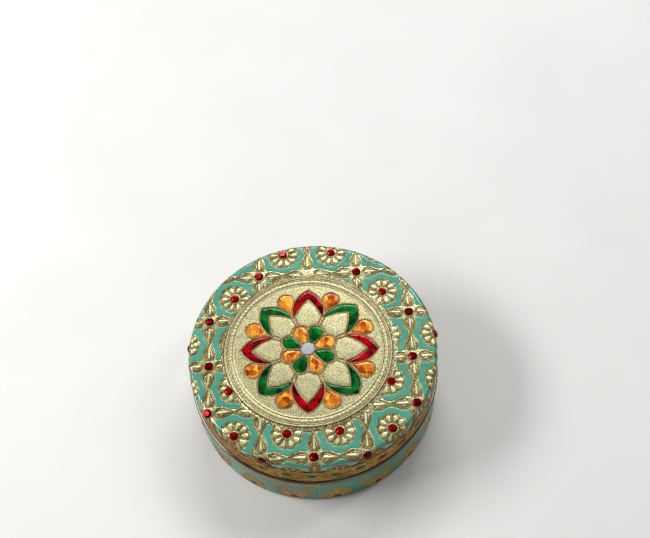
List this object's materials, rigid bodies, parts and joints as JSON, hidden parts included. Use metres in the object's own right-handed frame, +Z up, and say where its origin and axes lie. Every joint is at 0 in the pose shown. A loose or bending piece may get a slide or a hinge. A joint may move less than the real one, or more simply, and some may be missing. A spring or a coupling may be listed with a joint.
{
  "type": "round trinket box",
  "caption": "Round steel trinket box with a lift-off lid, dressed in embossed gilt sheet with poured enamel cells and set stones.",
  "frame": {"origin": "middle of the foot, on the surface that the box stands on", "axes": "+Z up through the middle of the lid, X and Y along the lid's square lattice, -Y towards the side strip's joint at the front"},
  "size_m": [0.127, 0.127, 0.0448],
  "materials": {
    "polished_steel": "polished pressed steel",
    "gilt_sheet": "embossed pale gilt sheet",
    "teal_enamel": "glossy poured enamel",
    "red_enamel": "glossy translucent poured enamel",
    "green_enamel": "glossy translucent poured enamel",
    "orange_enamel": "glossy translucent poured enamel",
    "red_stone": "faceted glassy stone",
    "dark_red_stone": "low domed glassy stone",
    "pale_stone": "satin pale disc"
  },
  "bodies": {
    "container": {"container_shell": "polished_steel", "side_strip": "gilt_sheet", "side_enamel": "teal_enamel", "side_stones": "dark_red_stone"},
    "lid": {"lid_shell": "polished_steel", "lid_sheet": "gilt_sheet", "lid_enamel": "teal_enamel", "flower_stones": "red_stone", "cross_stones": "red_stone", "rim_strip": "gilt_sheet", "rim_enamel_green": "green_enamel", "rim_enamel_red": "red_enamel", "rim_enamel_orange": "orange_enamel", "medallion_plate": "gilt_sheet", "petal_enamel_red": "red_enamel", "petal_enamel_green": "green_enamel", "drop_enamel_orange": "orange_enamel", "heart_enamel_green": "green_enamel", "heart_enamel_orange": "orange_enamel", "centre_stone": "pale_stone"}
  },
  "joints": [
    {"name": "lid_lift", "type": "slide", "parent": "container", "child": "lid", "axis": [0, 0, 1], "range_m": [0, 0.06]}
  ]
}
